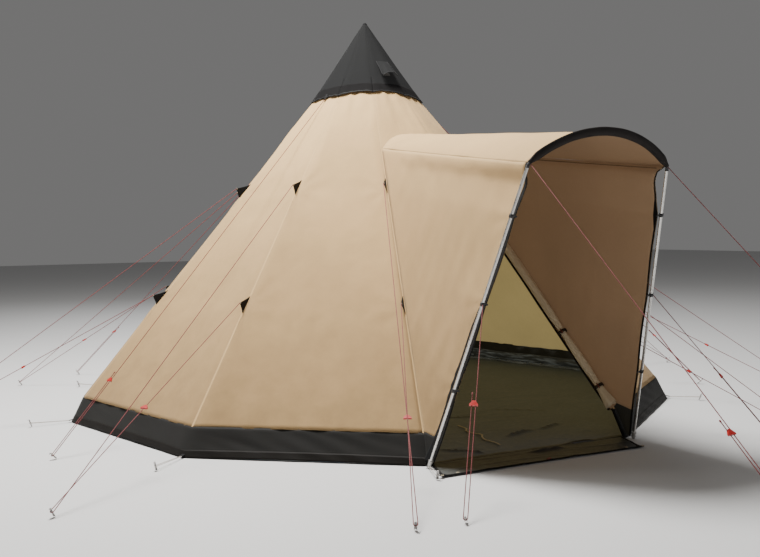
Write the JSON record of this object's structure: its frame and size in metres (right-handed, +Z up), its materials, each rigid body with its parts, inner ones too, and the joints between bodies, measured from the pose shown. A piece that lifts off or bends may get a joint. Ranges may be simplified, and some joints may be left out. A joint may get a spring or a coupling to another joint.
{
  "type": "pyramid tent",
  "caption": "Many-sided pyramid tent with centre pole, dark cap and mud skirt, walk-in arched porch, rolled door and pegged guy lines with sliding runners.",
  "frame": {"origin": "on the ground under the centre pole, at the underside of the groundsheet", "axes": "+Z up along the centre pole, -Y out through the porch, +X to the right seen from the porch side"},
  "size_m": [7.6761, 8.548, 3.438],
  "materials": {
    "canvas": "matte polycotton weave",
    "porch_canvas": "matte polycotton weave",
    "door_canvas": "matte polycotton weave, rolled",
    "webbing": "flat woven tape",
    "skirt_cloth": "coated cloth, low sheen",
    "cap_cloth": "coated cloth, low sheen",
    "sleeve_cloth": "coated cloth, low sheen",
    "groundsheet_cloth": "coated woven sheet, soft sheen",
    "guy_cord": "braided cord with steel peg",
    "runner_plastic": "moulded, satin",
    "pole_steel": "satin",
    "porch_steel": "satin",
    "black_plastic": "moulded, matte",
    "pole_plastic": "moulded, matte"
  },
  "bodies": {
    "tent": {"apex_cap": "cap_cloth", "arch_sleeve": "sleeve_cloth", "centre_pole_collar": "pole_plastic", "centre_pole_foot": "pole_plastic", "centre_pole_lower": "pole_steel", "door_roll": "door_canvas", "door_tie_1": "webbing", "door_tie_2": "webbing", "groundsheet": "groundsheet_cloth", "guy_line_porch_left": "guy_cord", "guy_line_porch_right": "guy_cord", "guy_line_ridge_01": "guy_cord", "guy_line_ridge_02": "guy_cord", "guy_line_ridge_03": "guy_cord", "guy_line_ridge_04": "guy_cord", "guy_line_ridge_05": "guy_cord", "guy_line_ridge_06": "guy_cord", "guy_line_ridge_07": "guy_cord", "guy_line_ridge_08": "guy_cord", "guy_line_ridge_09": "guy_cord", "guy_line_ridge_10": "guy_cord", "guy_line_shoulder_left": "guy_cord", "guy_line_shoulder_right": "guy_cord", "guy_line_storm_front_left": "guy_cord", "guy_line_storm_front_right": "guy_cord", "guy_line_storm_rear_left": "guy_cord", "guy_line_storm_rear_right": "guy_cord", "mud_skirt": "skirt_cloth", "porch_arch_pole": "porch_steel", "porch_boot_left": "black_plastic", "porch_boot_right": "black_plastic", "porch_elbow_left": "black_plastic", "porch_elbow_right": "black_plastic", "porch_leg_left": "porch_steel", "porch_leg_right": "porch_steel", "porch_roof": "porch_canvas", "porch_wall_left": "porch_canvas", "porch_wall_right": "porch_canvas", "tent_body": "canvas"},
    "upper_pole": {"centre_pole_upper": "pole_steel", "centre_pole_tip": "pole_plastic"},
    "vent": {"vent_flap": "cap_cloth"},
    "runner_porch_left": {"guy_runner_porch_left": "runner_plastic"},
    "runner_porch_right": {"guy_runner_porch_right": "runner_plastic"},
    "runner_ridge_01": {"guy_runner_ridge_01": "runner_plastic"},
    "runner_ridge_02": {"guy_runner_ridge_02": "runner_plastic"},
    "runner_ridge_03": {"guy_runner_ridge_03": "runner_plastic"},
    "runner_ridge_04": {"guy_runner_ridge_04": "runner_plastic"},
    "runner_ridge_05": {"guy_runner_ridge_05": "runner_plastic"},
    "runner_ridge_06": {"guy_runner_ridge_06": "runner_plastic"},
    "runner_ridge_07": {"guy_runner_ridge_07": "runner_plastic"},
    "runner_ridge_08": {"guy_runner_ridge_08": "runner_plastic"},
    "runner_ridge_09": {"guy_runner_ridge_09": "runner_plastic"},
    "runner_ridge_10": {"guy_runner_ridge_10": "runner_plastic"},
    "runner_shoulder_left": {"guy_runner_shoulder_left": "runner_plastic"},
    "runner_shoulder_right": {"guy_runner_shoulder_right": "runner_plastic"},
    "runner_storm_front_left": {"guy_runner_storm_front_left": "runner_plastic"},
    "runner_storm_front_right": {"guy_runner_storm_front_right": "runner_plastic"},
    "runner_storm_rear_left": {"guy_runner_storm_rear_left": "runner_plastic"},
    "runner_storm_rear_right": {"guy_runner_storm_rear_right": "runner_plastic"}
  },
  "joints": [
    {"name": "pole_telescope", "type": "slide", "parent": "tent", "child": "upper_pole", "axis": [0, 0, 1], "range_m": [-0.25, 0]},
    {"name": "vent_lift", "type": "hinge", "parent": "tent", "child": "vent", "pos_m": [0.03, -0.27574, 3.0406], "axis": [-1, 0, 0], "range_deg": [-13, 45]},
    {"name": "slide_porch_left", "type": "slide", "parent": "tent", "child": "runner_porch_left", "axis": [0.3975, 0.4951, 0.7726], "range_m": [-0.25, 0.03]},
    {"name": "slide_porch_right", "type": "slide", "parent": "tent", "child": "runner_porch_right", "axis": [-0.4112, 0.4838, 0.7726], "range_m": [-0.25, 0.03]},
    {"name": "slide_ridge_01", "type": "slide", "parent": "tent", "child": "runner_ridge_01", "axis": [0.8883, -0.0473, 0.4568], "range_m": [-0.25, 0.12]},
    {"name": "slide_ridge_02", "type": "slide", "parent": "tent", "child": "runner_ridge_02", "axis": [0.6768, 0.5945, 0.4342], "range_m": [-0.25, 0.12]},
    {"name": "slide_ridge_03", "type": "slide", "parent": "tent", "child": "runner_ridge_03", "axis": [0.398, 0.8013, 0.4466], "range_m": [-0.25, 0.12]},
    {"name": "slide_ridge_04", "type": "slide", "parent": "tent", "child": "runner_ridge_04", "axis": [-0.5307, 0.7154, 0.4545], "range_m": [-0.25, 0.12]},
    {"name": "slide_ridge_05", "type": "slide", "parent": "tent", "child": "runner_ridge_05", "axis": [-0.5816, 0.6825, 0.4427], "range_m": [-0.25, 0.12]},
    {"name": "slide_ridge_06", "type": "slide", "parent": "tent", "child": "runner_ridge_06", "axis": [-0.8727, 0.0058, 0.4883], "range_m": [-0.25, 0.12]},
    {"name": "slide_ridge_07", "type": "slide", "parent": "tent", "child": "runner_ridge_07", "axis": [-0.6907, -0.4941, 0.528], "range_m": [-0.25, 0.12]},
    {"name": "slide_ridge_08", "type": "slide", "parent": "tent", "child": "runner_ridge_08", "axis": [-0.2648, -0.7939, 0.5473], "range_m": [-0.25, 0.12]},
    {"name": "slide_ridge_09", "type": "slide", "parent": "tent", "child": "runner_ridge_09", "axis": [0.2524, -0.7979, 0.5473], "range_m": [-0.25, 0.12]},
    {"name": "slide_ridge_10", "type": "slide", "parent": "tent", "child": "runner_ridge_10", "axis": [0.688, -0.5075, 0.5187], "range_m": [-0.25, 0.12]},
    {"name": "slide_shoulder_left", "type": "slide", "parent": "tent", "child": "runner_shoulder_left", "axis": [-0.0707, 0.7143, 0.6962], "range_m": [-0.25, 0.03]},
    {"name": "slide_shoulder_right", "type": "slide", "parent": "tent", "child": "runner_shoulder_right", "axis": [-0.363, 0.5466, 0.7546], "range_m": [-0.25, 0.03]},
    {"name": "slide_storm_front_left", "type": "slide", "parent": "tent", "child": "runner_storm_front_left", "axis": [0.6562, 0.2786, 0.7012], "range_m": [-0.25, 0.03]},
    {"name": "slide_storm_front_right", "type": "slide", "parent": "tent", "child": "runner_storm_front_right", "axis": [-0.6586, 0.273, 0.7012], "range_m": [-0.25, 0.03]},
    {"name": "slide_storm_rear_left", "type": "slide", "parent": "tent", "child": "runner_storm_rear_left", "axis": [0.5075, -0.5389, 0.6723], "range_m": [-0.25, 0.03]},
    {"name": "slide_storm_rear_right", "type": "slide", "parent": "tent", "child": "runner_storm_rear_right", "axis": [-0.5032, -0.543, 0.6723], "range_m": [-0.25, 0.03]}
  ]
}
